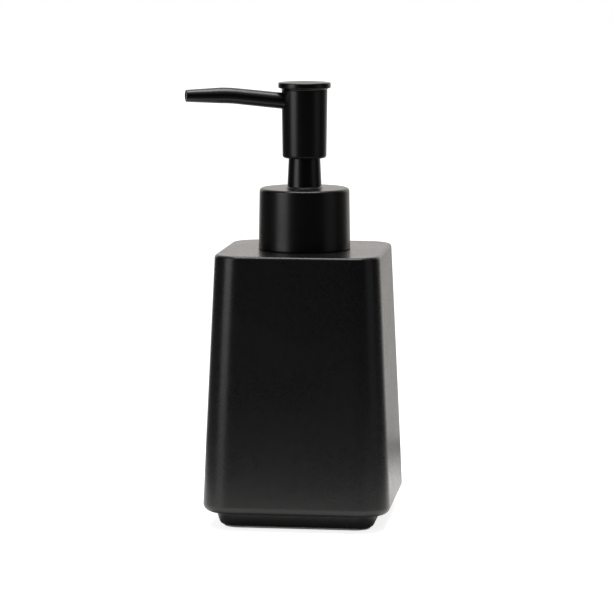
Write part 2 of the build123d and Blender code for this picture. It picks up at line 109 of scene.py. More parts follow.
class Wire:
    """One output of a node, with arithmetic that adds Math nodes to its tree."""

    def __init__(self, bench, output):
        self.bench, self.output = bench, output

    def math(self, operation, *values):
        sockets = {i: v for i, v in enumerate(values)}
        return self.bench.node("ShaderNodeMath", {"operation": operation}, sockets)

    def __add__(self, other):
        return self.math("ADD", self, other)

    def __radd__(self, other):
        return self.math("ADD", other, self)

    def __sub__(self, other):
        return self.math("SUBTRACT", self, other)

    def __rsub__(self, other):
        return self.math("SUBTRACT", other, self)

    def __mul__(self, other):
        return self.math("MULTIPLY", self, other)

    def __rmul__(self, other):
        return self.math("MULTIPLY", other, self)

    def __truediv__(self, other):
        return self.math("DIVIDE", self, other)

    def floor(self):
        return self.math("FLOOR", self)

    def clipped(self):
        return self.bench.node("ShaderNodeClamp", {}, {"Value": self})


class Bench:
    """A node tree, shader or geometry, that is wired by plain calls."""

    def __init__(self, tree):
        self.tree = tree

    def node(self, kind, settings=None, sockets=None, output=0):
        made = self.tree.nodes.new(kind)
        for name, value in (settings or {}).items():
            if name == "stops":
                ramp = made.color_ramp
                while len(ramp.elements) < len(value):
                    ramp.elements.new(0.5)
                for element, (place, colour) in zip(ramp.elements, value):
                    element.position, element.color = place, colour
            else:
                setattr(made, name, value)
        for key, value in (sockets or {}).items():
            if isinstance(value, Wire):
                self.tree.links.new(value.output, made.inputs[key])
            else:
                made.inputs[key].default_value = value
        return Wire(self, made.outputs[output]) if len(made.outputs) else made


# The room: a white sheet behind the object, a soft ceiling, and dark at the viewer's side.
SHEET_LEVEL, CEILING_LEVEL, ROOM_LEVEL = 1.1, 0.4, 0.006
SHEET_FROM, CEILING_FROM = (0.50, 0.80), (0.35, 0.90)   # where they come up out of the room
SHEET_TINT = (1.0, 0.965, 0.925, 1)   # the sheet is a warm white
FLOOR_GLOW, FAR_GLOW = 0.80, 0.35    # lift the lit floor to plain white, near and far
PAINTED_FALLOFF = (0.06, 0.20)            # the floor's colour turns from pale to dim between these, painted shade for the dark room beyond
PAPER_BACK = (0.17, 0.19)            # behind, it turns up into the white sheet
PALE, DIM = (0.8, 0.8, 0.8, 1), (0.1, 0.1, 0.1, 1)
# strength of the floor's painted bounce glow round the object, and of its glow behind as the sheet's foot
PAINTED_BOUNCE, SHEET_FOOT = 0.62, 0.70
SHEET_SLANT, SHEET_SIDE = 0.7, 0.15  # the sheet widens backwards and fades at its sides
PAPER_GLOW = 1.5                     # the floor's own light where it is strongest
PAINTED_SHADOW = (0.036, 0.042)              # painted shadow: the floor's glow for reflections is left out under the object, rising between these

air = Bench(sky)
direction = air.node("ShaderNodeTexCoord", {}, {}, "Generated")
split = air.node("ShaderNodeSeparateXYZ", {}, {"Vector": direction}).output.node.outputs
behind, above = Wire(air, split["Y"]), Wire(air, split["Z"])


def rising(bench, value, low, high, level):
    """Climbs smoothly from nothing to a level between two values."""
    return bench.node("ShaderNodeMapRange", {"interpolation_type": "SMOOTHSTEP"},
                      {"Value": value, "From Min": low, "From Max": high, "To Min": 0.0, "To Max": level})


def blend_colour(bench, share, low, high):
    return bench.node("ShaderNodeMix", {"data_type": "RGBA"}, {0: share, 6: low, 7: high}, 2)


lit = rising(air, behind, *SHEET_FROM, SHEET_LEVEL) + ROOM_LEVEL
lit = lit + rising(air, above, *CEILING_FROM, CEILING_LEVEL)
seen = air.node("ShaderNodeLightPath", {}, {}, "Is Camera Ray")
level = seen + (1 - seen) * lit
tint = blend_colour(air, seen, SHEET_TINT, (1, 1, 1, 1))
glow = air.node("ShaderNodeBackground", {}, {"Color": tint, "Strength": level})
air.node("ShaderNodeOutputWorld", {}, {"Surface": glow})

soft_box("key_left", (-0.85, -0.70, 0.22), (0, 0, 0.10), 0.55, 1.0, 3.8)
soft_box("fill_right", (0.95, -0.25, 0.22), (0, 0, 0.10), 0.55, 1.0, 0.42)
soft_box("overhead", (0.0, 0.05, 1.30), (0, 0, 0), 0.9, 0.7, 13.0)

floor_mesh = bpy.data.meshes.new("floor")
half = FLOOR_SIZE / 2
floor_mesh.from_pydata([(-half, -half, 0), (half, -half, 0), (half, half, 0), (-half, half, 0)],
                       [], [(0, 1, 2, 3)])
floor = bpy.data.objects.new("floor", floor_mesh)
bpy.context.scene.collection.objects.link(floor)
floor_paint = bpy.data.materials.new("pale_floor")
floor_paint.use_nodes = True
floor_paint.node_tree.nodes.clear()
sheet = Bench(floor_paint.node_tree)
place = sheet.node("ShaderNodeTexCoord", {}, {}, "Object")
spot = sheet.node("ShaderNodeSeparateXYZ", {}, {"Vector": place}).output.node.outputs
across, ahead = Wire(sheet, spot["X"]), Wire(sheet, spot["Y"])
aside = ahead.math("MAXIMUM", across.math("ABSOLUTE", across), ahead.math("ABSOLUTE", ahead))
far = rising(sheet, aside, *PAINTED_FALLOFF, 1.0)
aslant = across.math("ABSOLUTE", across) - ahead * SHEET_SLANT
beside = rising(sheet, aslant, 0.0, SHEET_SIDE, 1.0)
turned_up = rising(sheet, ahead, *PAPER_BACK, 1.0) * (1 - beside)
# Painted shade: the floor's own colour turns dim away from the object and behind it; to the camera its
# glow keeps it white.
paper = sheet.node("ShaderNodeMix", {"data_type": "RGBA"}, {
    0: (far + turned_up).clipped(), 6: PALE, 7: DIM}, 2)
# Painted bounce light and painted shadow: to all but the camera the floor glows round the object but not
# under it, and glows behind as the sheet's foot.
painted_bounce = rising(sheet, aside, *PAINTED_SHADOW, PAINTED_BOUNCE) * (1 - far) + turned_up * SHEET_FOOT
watched = sheet.node("ShaderNodeLightPath", {}, {}, "Is Camera Ray")
white = watched * (FLOOR_GLOW + (far + turned_up).clipped() * FAR_GLOW)
share = (white + (1 - watched) * painted_bounce) / PAPER_GLOW
shade = blend_colour(sheet, watched, SHEET_TINT, (1, 1, 1, 1))
matt = sheet.node("ShaderNodeBsdfPrincipled", {}, {
    "Base Color": paper, "Roughness": 0.9, "Specular IOR Level": 0.1,
    "Emission Color": blend_colour(sheet, share, (0, 0, 0, 1), shade),
    "Emission Strength": PAPER_GLOW})
sheet.node("ShaderNodeOutputMaterial", {}, {"Surface": matt})
floor_mesh.materials.append(floor_paint)


# ======================================================================================
# Bottle. Slip-cast stoneware in one piece: a square vessel that leans in towards its top,
# with a set-back foot and a round mouth, sprayed with a satin black glaze and fired.
# ======================================================================================
BASE_HALF = 37.5             # half the body's side at its lower end
SIDE_LEAN = 4.65             # how far each side comes in over the body's height
BODY_LOW = 6.4
BASE_CORNER, TOP_CORNER = 12.4, 11.0
BASE_EDGE, TOP_EDGE = 3.0, 1.3
FOOT_HALF_LOW, FOOT_HALF_HIGH = 30.55, 32.25
FOOT_CORNER_LOW, FOOT_CORNER_HIGH = 6.65, 7.5
FOOT_EDGE = 1.2
GLAZED_WALL, TOP_WALL = 4.0, 4.8
CHAMBER_FLOOR = 9.0
CHAMBER_EDGE = 3.0
MOUTH_R = 12.65
MOUTH_EDGE = 0.5
ARC_STEPS = 10
BOTTLE_CORNER_STEPS = 20
SUPPORT = 0.35               # loops beside each edge that keep the flat faces flat
MERGE = 2e-6                 # metres, closer than which points become one


def heights(node):
    """A CAD node's lowest and highest points, in millimetres."""
    return tuple(round(corner.z / MM, 3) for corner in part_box(node))


FOOT_LOW, BODY_HIGH = heights("bottle")


def body_section(z, inset):
    """Half width, corner radius and height of the body's section, drawn in by an inset."""
    share = (z - BODY_LOW) / (BODY_HIGH - BODY_LOW)
    corner = BASE_CORNER + (TOP_CORNER - BASE_CORNER) * share
    return BASE_HALF - SIDE_LEAN * share - inset, corner - inset, z


def arc(radius, start, end, steps=ARC_STEPS):
    """Points of an arc about the origin, from one angle to another, in degrees."""
    for i in range(steps + 1):
        angle = math.radians(start + (end - start) * i / steps)
        yield radius * math.cos(angle), radius * math.sin(angle)


def supported(rows):
    """Adds a loop close to each end of every long stretch of an outline."""
    out = [rows[0]]
    for a, b in zip(rows, rows[1:]):
        gap = math.dist(a, b)
        if gap > 3 * SUPPORT:
            for share in (SUPPORT / gap, 1 - SUPPORT / gap):
                out.append(tuple(p + (q - p) * share for p, q in zip(a, b)))
        out.append(b)
    return out


def outline_object(name, rows, finish):
    """A chain of points in metres, each the half width, corner radius and height of a section."""
    mesh = bpy.data.meshes.new(name)
    mesh.from_pydata([tuple(c * MM for c in row) for row in supported(rows)], [], [])
    mesh.materials.append(finish)
    piece = bpy.data.objects.new(name, mesh)
    bpy.context.scene.collection.objects.link(piece)
    return piece


def run_tree(piece, tree, values):
    """Runs a geometry tree on a piece and leaves its result as a plain mesh."""
    live = piece.modifiers.new("shape", "NODES")
    live.node_group = tree
    for item in tree.interface.items_tree:
        if item.in_out == "INPUT" and item.name in values:
            live[item.identifier] = values[item.name]
    ready = piece.evaluated_get(bpy.context.evaluated_depsgraph_get())
    mesh = bpy.data.meshes.new_from_object(ready)
    piece.modifiers.remove(live)
    mesh.name = piece.name
    piece.data = mesh
    return piece


def new_tree(name, inputs):
    """An empty geometry tree with named inputs, its bench and the inputs' wires."""
    tree = bpy.data.node_groups.new(name, "GeometryNodeTree")
    for label, kind in inputs:
        tree.interface.new_socket(name=label, in_out="INPUT", socket_type="NodeSocket" + kind)
    tree.interface.new_socket(name="Result", in_out="OUTPUT", socket_type="NodeSocketGeometry")
    bench = Bench(tree)
    given = tree.nodes.new("NodeGroupInput")
    return tree, bench, [Wire(bench, given.outputs[i]) for i in range(len(inputs))]


def close_tree(bench, shape, finish):
    """Ends a geometry tree: doubles merged, smooth, real geometry with its material."""
    merged = bench.node("GeometryNodeMergeByDistance", {}, {"Geometry": shape, "Distance": MERGE})
    smooth = bench.node("GeometryNodeSetShadeSmooth", {}, {"Geometry": merged, "Shade Smooth": True})
    real = bench.node("GeometryNodeRealizeInstances", {}, {"Geometry": smooth})
    coated = bench.node("GeometryNodeSetMaterial", {}, {"Geometry": real, "Material": finish})
    bench.node("NodeGroupOutput", {}, {"Result": coated})


def section_tree():
    """Lofts a chain of rounded squares; a section whose corners meet is a circle."""
    tree, b, given = new_tree("rounded_sections", [
        ("Rows", "Geometry"), ("Row Count", "Int"), ("Corner Steps", "Int"),
        ("Flat Support", "Float"), ("Finish", "Material")])
    rows, count, steps, support, finish = given
    per_corner = steps + 3
    grid = b.node("GeometryNodeMeshGrid", {}, {"Vertices X": per_corner * 4 + 1, "Vertices Y": count})
    column = (b.node("GeometryNodeInputIndex") / count).floor()
    row = b.node("GeometryNodeInputIndex") - column * count
    corner = (column / per_corner).floor()
    step = column - corner * per_corner
    share = ((step - 1) / steps).clipped()
    end = (step - steps - 1).clipped() - (1 - step).clipped()
    turn = (corner + share) * (math.pi / 2)
    diagonal = (corner + 0.5) * (math.pi / 2)
    section = b.node("GeometryNodeSampleIndex", {"data_type": "FLOAT_VECTOR", "domain": "POINT"},
                     {"Geometry": rows, "Value": b.node("GeometryNodeInputPosition"), "Index": row})
    parts = b.node("ShaderNodeSeparateXYZ", {}, {"Vector": section}).output.node.outputs
    half_width, radius, height = (Wire(b, part) for part in parts)
    straight = half_width - radius
    slip = straight.math("MINIMUM", straight * 0.5, support) * end
    cosine, sine = turn.math("COSINE", turn), turn.math("SINE", turn)
    reach = straight * math.sqrt(2)
    x = reach * diagonal.math("COSINE", diagonal) + radius * cosine - slip * sine
    y = reach * diagonal.math("SINE", diagonal) + radius * sine + slip * cosine
    place = b.node("ShaderNodeCombineXYZ", {}, {"X": x, "Y": y, "Z": height})
    close_tree(b, b.node("GeometryNodeSetPosition", {}, {"Geometry": grid, "Position": place}), finish)
    return tree


ROUNDED_SECTIONS = section_tree()


def lofted(name, rows, finish, corner_steps):
    piece = outline_object(name, rows, finish)
    return run_tree(piece, ROUNDED_SECTIONS, {
        "Row Count": len(piece.data.vertices), "Corner Steps": corner_steps,
        "Flat Support": SUPPORT * MM, "Finish": finish})


def finish_bench(name):
    """A new material with an empty tree, and its bench."""
    made = bpy.data.materials.new(name)
    made.use_nodes = True
    made.node_tree.nodes.clear()
    return made, Bench(made.node_tree)


def surface(bench, fixed, varying):
    """Ends a material: constants on the shader's own sockets, maps into the few that bake."""
    shader = bench.node("ShaderNodeBsdfPrincipled", {}, {**fixed, **varying})
    bench.node("ShaderNodeOutputMaterial", {}, {"Surface": shader})


def noise(bench, scale, detail=2.0, roughness=0.5, stretch=(1, 1, 1), seed=0.0):
    """Noise between 0 and 1 in the piece's own space, in features per metre."""
    space = bench.node("ShaderNodeTexCoord", {}, {}, "Object")
    turned = bench.node("ShaderNodeMapping", {}, {"Vector": space, "Scale": stretch,
                                                  "Location": (seed, seed * 0.7, seed * 1.3)})
    return bench.node("ShaderNodeTexNoise", {"noise_dimensions": "3D"},
                      {"Vector": turned, "Scale": scale, "Detail": detail, "Roughness": roughness}, "Fac")


def relief(bench, height, depth):
    return bench.node("ShaderNodeBump", {}, {"Height": height, "Distance": depth, "Strength": 1.0})


def satin_glaze():
    """Fired satin black glaze: faint mottling, eggshell micro-relief on a slightly wavy body."""
    made, b = finish_bench("satin_black_glaze")
    mottle = noise(b, 420.0, 4.0, 0.6)
    cloud = noise(b, 38.0, 3.0, 0.5, seed=3.1)
    grain = noise(b, 2600.0, 2.0, 0.6, seed=7.7)
    shade = (mottle * 0.55 + cloud * 0.45).clipped()
    colour = blend_colour(b, shade, (0.0035, 0.0034, 0.0036, 1), (0.0105, 0.0103, 0.0108, 1))
    rough = 0.19 + mottle * 0.12 + cloud * 0.08
    wave = noise(b, 45.0, 1.0, seed=1.2)
    skin = mottle * 0.6 + grain * 0.4 + wave * 3.0
    surface(b, {"IOR": 1.5}, {"Base Color": colour, "Roughness": rough,
                              "Normal": relief(b, skin, 0.00004)})
    return made


def bottle_rows():
    rows = [(0, 0, FOOT_LOW)]
    for c, s in arc(FOOT_EDGE, -90, 0):
        z = FOOT_LOW + FOOT_EDGE + s
        share = (z - FOOT_LOW) / (BODY_LOW - FOOT_LOW)
        inset = FOOT_EDGE - c
        rows.append((FOOT_HALF_LOW + (FOOT_HALF_HIGH - FOOT_HALF_LOW) * share - inset,
                     FOOT_CORNER_LOW + (FOOT_CORNER_HIGH - FOOT_CORNER_LOW) * share - inset, z))
    rows.append((FOOT_HALF_HIGH, FOOT_CORNER_HIGH, BODY_LOW))
    rows += [body_section(BODY_LOW + BASE_EDGE + s, BASE_EDGE - c) for c, s in arc(BASE_EDGE, -90, 0)]
    rows += [body_section(BODY_HIGH - TOP_EDGE + s, TOP_EDGE - c) for c, s in arc(TOP_EDGE, 0, 90)]
    rows += [(MOUTH_R + MOUTH_EDGE - c, MOUTH_R + MOUTH_EDGE - c, BODY_HIGH - MOUTH_EDGE + s)
             for c, s in arc(MOUTH_EDGE, 90, 0, 4)]
    ceiling = BODY_HIGH - TOP_WALL
    rows.append((MOUTH_R, MOUTH_R, ceiling))
    rows += [body_section(ceiling - CHAMBER_EDGE + s, GLAZED_WALL + CHAMBER_EDGE - c)
             for c, s in arc(CHAMBER_EDGE, 90, 0)]
    rows += [body_section(CHAMBER_FLOOR + CHAMBER_EDGE + s, GLAZED_WALL + CHAMBER_EDGE - c)
             for c, s in arc(CHAMBER_EDGE, 0, -90)]
    rows.append((0, 0, CHAMBER_FLOOR))
    return rows


glaze = satin_glaze()
bottle = lofted("glazed_bottle", bottle_rows(), glaze, BOTTLE_CORNER_STEPS)
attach(bottle, "bottle")
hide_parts("bottle")


# ======================================================================================
# Base pad. A square of light grey closed-cell foam, die-cut with rounded corners and stuck
# under the foot, so that the bottle doesn't slide or scratch.
# ======================================================================================
PAD_HALF, PAD_CORNER = 29.3, 6.25
PAD_LOW, PAD_HIGH = heights("base_pad")
PAD_EDGE = 0.12
PAD_CORNER_STEPS = 10


def foam():
    """Closed-cell foam rubber: open cells at the cut skin, their pits darkened as painted shade, and
    uneven grey.
    """
    made, b = finish_bench("grey_foam_pad")
    space = b.node("ShaderNodeTexCoord", {}, {}, "Object")
    cells = b.node("ShaderNodeTexVoronoi", {"feature": "SMOOTH_F1"},
                   {"Vector": space, "Scale": 2200.0}, "Distance")
    patch = noise(b, 90.0, 3.0)
    # Painted shade in part: the cells' pits are darker; the patches are the foam's own uneven grey.
    colour = blend_colour(b, (cells * 0.5 + patch * 0.5).clipped(),
                          (0.62, 0.61, 0.60, 1), (0.86, 0.85, 0.83, 1))
    surface(b, {"IOR": 1.45, "Specular IOR Level": 0.3},
            {"Base Color": colour, "Roughness": 0.75 + patch * 0.2, "Normal": relief(b, cells, 0.0001)})
    return made


pad_rows = [(0, 0, PAD_LOW)]
pad_rows += [(PAD_HALF - PAD_EDGE + c, PAD_CORNER - PAD_EDGE + c, PAD_LOW + PAD_EDGE + s)
             for c, s in arc(PAD_EDGE, -90, 0, 4)]
pad_rows += [(PAD_HALF - PAD_EDGE + c, PAD_CORNER - PAD_EDGE + c, PAD_HIGH - PAD_EDGE + s)
             for c, s in arc(PAD_EDGE, 0, 90, 4)]
pad_rows.append((0, 0, PAD_HIGH))
pad = lofted("foam_base_pad", pad_rows, foam(), PAD_CORNER_STEPS)
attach(pad, "bottle")
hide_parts("base_pad")


# ======================================================================================
# Collar. The plain round overshell that covers the screw closure, moulded in black plastic
# with a satin face and pressed over the threaded liner.
# ======================================================================================
COLLAR_LOW, COLLAR_HIGH = heights("collar_shell")
COLLAR_R_LOW, COLLAR_R_HIGH = 18.4, 18.0
COLLAR_WALL, COLLAR_DECK = 0.9, 1.1
COLLAR_EDGE, COLLAR_LIP_EDGE = 1.2, 0.25
COLLAR_HOLE_R = 7.77
ROUND_STEPS = 30


def round_rows(points):
    return [(r, r, z) for r, z in points]


def satin_moulding(name, seed, gloss):
    """Black moulding from a fine-textured tool: eggshell skin, slight sheen changes."""
    made, b = finish_bench(name)
    skin = noise(b, 1500.0, 3.0, 0.6, seed=seed)
    cloud = noise(b, 60.0, 2.0, 0.5, seed=seed + 1.9)
    colour = blend_colour(b, (skin * 0.6 + cloud * 0.4).clipped(), (0.0008, 0.0008, 0.0009, 1),
                          (0.0022, 0.0022, 0.0024, 1))
    rough = gloss + skin * 0.06 + cloud * 0.05
    surface(b, {"IOR": 1.5}, {"Base Color": colour, "Roughness": rough,
                              "Normal": relief(b, skin, 0.00001)})
    return made


def collar_r(z):
    return COLLAR_R_LOW + (COLLAR_R_HIGH - COLLAR_R_LOW) * (z - BODY_HIGH) / (COLLAR_HIGH - BODY_HIGH)


collar_rows = [(collar_r(COLLAR_LOW) - COLLAR_WALL, COLLAR_LOW)]
collar_rows += [(collar_r(COLLAR_LOW) - COLLAR_LIP_EDGE + c, COLLAR_LOW + COLLAR_LIP_EDGE + s)
                for c, s in arc(COLLAR_LIP_EDGE, -90, 0, 4)]
collar_rows += [(collar_r(COLLAR_HIGH) - COLLAR_EDGE + c, COLLAR_HIGH - COLLAR_EDGE + s)
                for c, s in arc(COLLAR_EDGE, 0, 90)]
collar_rows += [(COLLAR_HOLE_R, COLLAR_HIGH), (COLLAR_HOLE_R, COLLAR_HIGH - COLLAR_DECK),
                (collar_r(COLLAR_HIGH) - COLLAR_WALL, COLLAR_HIGH - COLLAR_DECK)]
collar_rows.append(collar_rows[0])
collar = lofted("collar_overshell", round_rows(collar_rows),
                satin_moulding("satin_black_collar", 2.3, 0.25), ROUND_STEPS)
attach(collar, "collar")
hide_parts("collar_shell")


# ======================================================================================
# Guide sleeve. The fixed tube round the pump's stem; its foot flares where it leaves the
# collar, and the head's barrel slides down over it.
# ======================================================================================
SLEEVE_LOW, SLEEVE_HIGH = heights("guide_sleeve")
SLEEVE_R_LOW, SLEEVE_R_HIGH = 6.85, 6.2
SLEEVE_FLARE, SLEEVE_FLARE_GAP = 0.8, 0.1
SLEEVE_FLANGE_R, SLEEVE_FLANGE_HIGH = 9.4, 131.9
SLEEVE_BORE_R, SLEEVE_LIP_BORE_R, SLEEVE_LIP = 5.0, 3.86, 1.0
SLEEVE_TOP_EDGE = 0.5

flare_low = COLLAR_HIGH + SLEEVE_FLARE_GAP
flare_r = SLEEVE_R_LOW + SLEEVE_FLARE
sleeve_rows = [(SLEEVE_BORE_R, SLEEVE_LOW), (SLEEVE_FLANGE_R, SLEEVE_LOW),
               (SLEEVE_FLANGE_R, SLEEVE_FLANGE_HIGH), (flare_r, SLEEVE_FLANGE_HIGH)]
sleeve_rows += [(flare_r + c, flare_low + SLEEVE_FLARE + s) for c, s in arc(SLEEVE_FLARE, -90, -180)]
sleeve_rows += [(SLEEVE_R_HIGH - SLEEVE_TOP_EDGE + c, SLEEVE_HIGH - SLEEVE_TOP_EDGE + s)
                for c, s in arc(SLEEVE_TOP_EDGE, 0, 90, 5)]
sleeve_rows += [(SLEEVE_LIP_BORE_R, SLEEVE_HIGH), (SLEEVE_LIP_BORE_R, SLEEVE_HIGH - SLEEVE_LIP),
                (SLEEVE_BORE_R, SLEEVE_HIGH - SLEEVE_LIP)]
sleeve_rows.append(sleeve_rows[0])
head_finish = satin_moulding("satin_black_head", 5.1, 0.24)
sleeve = lofted("guide_sleeve_tube", round_rows(sleeve_rows), head_finish, ROUND_STEPS)
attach(sleeve, "pump")
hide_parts("guide_sleeve")


# ======================================================================================
# Head. A round barrel open below, a flared thumb cap pressed into its top, and a long thin
# spout pushed through its side into the core.
# ======================================================================================
BARREL_LOW, BARREL_HIGH = heights("head_barrel")
BARREL_R_LOW, BARREL_R_HIGH, BARREL_BORE_R = 8.8, 9.15, 7.25
BARREL_EDGE = 1.1
SEAM = 0.15                  # edges eased where barrel and cap meet
CAP_SPIGOT_LOW, CAP_HIGH = heights("head_cap")
CAP_R, CAP_RIM, CAP_SPIGOT_R = 10.5, 2.3, 7.21
CAP_EDGE, CAP_LIP, CAP_DISH = 0.5, 0.75, 0.9
CAP_NECK_FROM = 167          # degrees round the neck's arc, where it meets the eased edge

barrel_rows = [(BARREL_BORE_R, BARREL_LOW)]
barrel_rows += [(BARREL_R_LOW - BARREL_EDGE + c, BARREL_LOW + BARREL_EDGE + s)
                for c, s in arc(BARREL_EDGE, -90, 0)]
barrel_rows += [(BARREL_R_HIGH, BARREL_HIGH - SEAM), (BARREL_R_HIGH - SEAM, BARREL_HIGH),
                (BARREL_BORE_R, BARREL_HIGH), (BARREL_BORE_R, BARREL_LOW)]
barrel = lofted("head_barrel_shell", round_rows(barrel_rows), head_finish, ROUND_STEPS)
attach(barrel, "head")
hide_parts("head_barrel")

cap_rim_low = CAP_HIGH - CAP_RIM
cap_neck = cap_rim_low - BARREL_HIGH
dish_r = CAP_R - CAP_LIP
dish_sphere = (dish_r ** 2 + CAP_DISH ** 2) / (2 * CAP_DISH)
dish_half = math.degrees(math.asin(dish_r / dish_sphere))
cap_rows = [(0, CAP_SPIGOT_LOW), (CAP_SPIGOT_R, CAP_SPIGOT_LOW), (CAP_SPIGOT_R, BARREL_HIGH)]
cap_rows.append((BARREL_R_HIGH - SEAM, BARREL_HIGH))
cap_rows += [(BARREL_R_HIGH + cap_neck + c, BARREL_HIGH + s) for c, s in arc(cap_neck, CAP_NECK_FROM, 90)]
cap_rows += [(CAP_R - CAP_EDGE + c, cap_rim_low + CAP_EDGE + s) for c, s in arc(CAP_EDGE, -90, 0, 6)]
cap_rows += [(CAP_R - CAP_EDGE + c, CAP_HIGH - CAP_EDGE + s) for c, s in arc(CAP_EDGE, 0, 90, 6)]
cap_rows += [(c, CAP_HIGH - CAP_DISH + dish_sphere + s)
             for c, s in arc(dish_sphere, -90 + dish_half, -90, 12)]
cap = lofted("thumb_cap", round_rows(cap_rows), head_finish, ROUND_STEPS)
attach(cap, "head")
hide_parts("head_cap")


SPOUT_HEADING, SPOUT_RISE = 20.0, 6.4        # degrees
SPOUT_SEAT, SPOUT_BEND_AT, SPOUT_REACH = 4.2, 30.6, 48.1
SPOUT_BEND_R = 60.0
SPOUT_R_ROOT, SPOUT_R_BEND, SPOUT_R_TIP = 3.25, 3.15, 2.4
SPOUT_WALL, SPOUT_TIP_EDGE = 1.15, 0.35
SPOUT_DROP = 5.25            # its axis below the barrel's top, where it meets the pump's axis
SPOUT_HOLE_GAP = 0.04
RUN_STEPS, BEND_STEPS = 8, 16                # points along each straight run and the bend
SPOUT_SIDES, HOLE_SIDES = 72, 96
CREASE = 35.0                # degrees, past which an edge of the cut barrel stays sharp


def spout_path():
    """Points of the spout's centre line, in millimetres, with their distance along it."""
    slope = math.radians(SPOUT_RISE)
    half_bend = SPOUT_BEND_R * math.tan(slope / 2)
    start, end = SPOUT_BEND_AT - half_bend * math.cos(slope), SPOUT_BEND_AT + half_bend
    axis_z = BARREL_HIGH - SPOUT_DROP
    level_z = axis_z + SPOUT_BEND_AT * math.tan(slope)
    root = [SPOUT_SEAT + (start - SPOUT_SEAT) * i / RUN_STEPS for i in range(RUN_STEPS + 1)]
    flat = [(reach, axis_z + reach * math.tan(slope)) for reach in root]
    for i in range(1, BEND_STEPS + 1):
        tilt = slope * (1 - i / BEND_STEPS)
        flat.append((end - SPOUT_BEND_R * math.sin(tilt), level_z - SPOUT_BEND_R * (1 - math.cos(tilt))))
    flat += [(end + (SPOUT_REACH - end) * i / RUN_STEPS, level_z) for i in range(1, RUN_STEPS + 1)]
    heading = math.radians(180 + SPOUT_HEADING)
    points = [Vector((reach * math.cos(heading), reach * math.sin(heading), z)) for reach, z in flat]
    run = [0.0]
    for a, b in zip(points, points[1:]):
        run.append(run[-1] + (b - a).length)
    return points, run


def turned_along_path():
    """Turns an outline of radius and distance about a curve, and follows the curve."""
    tree, b, given = new_tree("turned_along_path", [
        ("Rows", "Geometry"), ("Row Count", "Int"), ("Around", "Int"), ("Path", "Object"),
        ("Finish", "Material")])
    rows, count, around, path, finish = given
    grid = b.node("GeometryNodeMeshGrid", {}, {"Vertices X": around + 1, "Vertices Y": count})
    column = (b.node("GeometryNodeInputIndex") / count).floor()
    row = b.node("GeometryNodeInputIndex") - column * count
    section = b.node("GeometryNodeSampleIndex", {"data_type": "FLOAT_VECTOR", "domain": "POINT"},
                     {"Geometry": rows, "Value": b.node("GeometryNodeInputPosition"), "Index": row})
    parts = b.node("ShaderNodeSeparateXYZ", {}, {"Vector": section}).output.node.outputs
    radius, distance = Wire(b, parts[0]), Wire(b, parts[2])
    line = b.node("GeometryNodeObjectInfo", {"transform_space": "ORIGINAL"}, {"Object": path},
                  "Geometry")
    found = b.node("GeometryNodeSampleCurve", {"mode": "LENGTH", "use_all_curves": True},
                   {"Curves": line, "Length": distance}).output.node
    centre, along, up = (Wire(b, found.outputs[name]) for name in ("Position", "Tangent", "Normal"))
    side = b.node("ShaderNodeVectorMath", {"operation": "CROSS_PRODUCT"}, {0: along, 1: up})
    turn = column / around * (2 * math.pi)
    ring = [b.node("ShaderNodeVectorMath", {"operation": "SCALE"}, {0: axis, "Scale": radius * share})
            for axis, share in ((up, turn.math("COSINE", turn)), (side, turn.math("SINE", turn)))]
    outward = b.node("ShaderNodeVectorMath", {"operation": "ADD"}, {0: ring[0], 1: ring[1]})
    place = b.node("ShaderNodeVectorMath", {"operation": "ADD"}, {0: centre, 1: outward})
    close_tree(b, b.node("GeometryNodeSetPosition", {}, {"Geometry": grid, "Position": place}), finish)
    return tree


def curve_object(name, points):
    line = bpy.data.curves.new(name, "CURVE")
    line.dimensions = "3D"
    strand = line.splines.new("POLY")
    strand.points.add(len(points) - 1)
    for spot, point in zip(strand.points, points):
        spot.co = (*(point * MM), 1.0)
    path = bpy.data.objects.new(name, line)
    bpy.context.scene.collection.objects.link(path)
    return path


def bored_barrel(piece, start, end):
    """Cuts the round hole that the spout goes through."""
    cutter_mesh = bpy.data.meshes.new("spout_hole")
    solid = bmesh.new()
    hole_r = (SPOUT_R_ROOT + SPOUT_HOLE_GAP) * MM
    bmesh.ops.create_cone(solid, cap_ends=True, segments=HOLE_SIDES, radius1=hole_r, radius2=hole_r,
                          depth=(end - start).length * MM)
    solid.to_mesh(cutter_mesh)
    solid.free()
    cutter = bpy.data.objects.new("spout_hole", cutter_mesh)
    bpy.context.scene.collection.objects.link(cutter)
    cutter.location = (start + end) / 2 * MM
    cutter.rotation_mode = "QUATERNION"
    cutter.rotation_quaternion = (end - start).to_track_quat("Z", "Y")
    cut = piece.modifiers.new("hole", "BOOLEAN")
    cut.object, cut.solver, cut.operation = cutter, "EXACT", "DIFFERENCE"
    ready = piece.evaluated_get(bpy.context.evaluated_depsgraph_get())
    mesh = bpy.data.meshes.new_from_object(ready)
    piece.modifiers.remove(cut)
    piece.data = mesh
    mesh.set_sharp_from_angle(angle=math.radians(CREASE))
    bpy.data.objects.remove(cutter)
    return piece


spout_points, spout_run = spout_path()
bend_from, bend_to = spout_run[RUN_STEPS], spout_run[RUN_STEPS + BEND_STEPS]
spout_end = spout_run[-1]


def spout_r(distance, inset):
    """The tube's radius at a distance along it: drafted to the bend, and again from it."""
    if distance <= bend_to:
        share = min(distance / bend_from, 1.0)
        return SPOUT_R_ROOT + (SPOUT_R_BEND - SPOUT_R_ROOT) * share - inset
    share = (distance - bend_to) / (spout_end - bend_to)
    return SPOUT_R_BEND + (SPOUT_R_TIP - SPOUT_R_BEND) * share - inset


